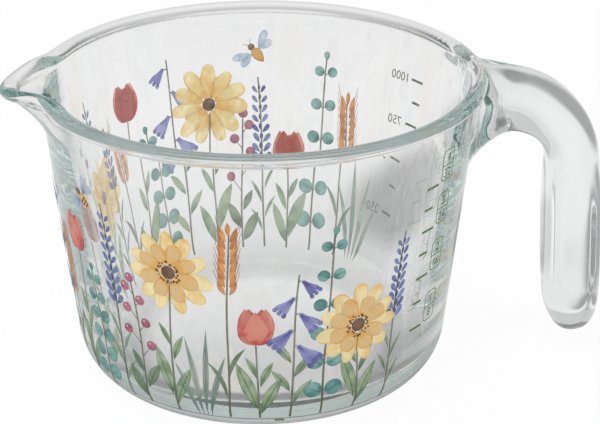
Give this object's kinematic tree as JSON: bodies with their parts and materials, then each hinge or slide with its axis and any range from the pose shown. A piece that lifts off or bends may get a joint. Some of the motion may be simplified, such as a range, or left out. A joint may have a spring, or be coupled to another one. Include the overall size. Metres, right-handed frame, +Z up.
{
  "type": "measuring jug",
  "caption": "Clear pressed-glass measuring jug with a wide bowl, beaded rim, pouring spout, open hanging handle, printed volume scales and a meadow print.",
  "frame": {"origin": "on the bowl's axis, on the flat base that the jug stands on", "axes": "+Z up along the bowl's axis, +X towards the handle, -X towards the spout"},
  "size_m": [0.2154, 0.16, 0.1146],
  "materials": {
    "clear_glass": "polished",
    "flower_stems_enamel": "fired grey-brown enamel",
    "daisy_petals_enamel": "fired yellow enamel",
    "daisy_centres_enamel": "fired brown enamel",
    "tulip_petals_enamel": "fired red enamel",
    "leaf_blades_enamel": "fired green enamel",
    "lavender_florets_enamel": "fired blue enamel",
    "coin_leaves_enamel": "fired teal enamel",
    "wheat_ears_enamel": "fired ochre enamel",
    "bellflowers_enamel": "fired violet-blue enamel",
    "berries_enamel": "fired plum enamel",
    "grass_blades_enamel": "fired grey-green enamel",
    "bee_bodies_enamel": "fired amber enamel",
    "bee_wings_enamel": "fired pale blue enamel",
    "cup_scale_ticks_enamel": "fired green enamel",
    "cup_scale_tags_enamel": "fired green enamel",
    "millilitre_scale_ticks_enamel": "fired dark green enamel"
  },
  "bodies": {
    "root": {"glass_jug": "clear_glass", "flower_stems": "flower_stems_enamel", "daisy_petals": "daisy_petals_enamel", "daisy_centres": "daisy_centres_enamel", "tulip_petals": "tulip_petals_enamel", "leaf_blades": "leaf_blades_enamel", "lavender_florets": "lavender_florets_enamel", "coin_leaves": "coin_leaves_enamel", "wheat_ears": "wheat_ears_enamel", "bellflowers": "bellflowers_enamel", "berries": "berries_enamel", "grass_blades": "grass_blades_enamel", "bee_bodies": "bee_bodies_enamel", "bee_wings": "bee_wings_enamel", "cup_scale_ticks": "cup_scale_ticks_enamel", "cup_scale_tags": "cup_scale_tags_enamel", "millilitre_scale_ticks": "millilitre_scale_ticks_enamel"}
  },
  "joints": []
}
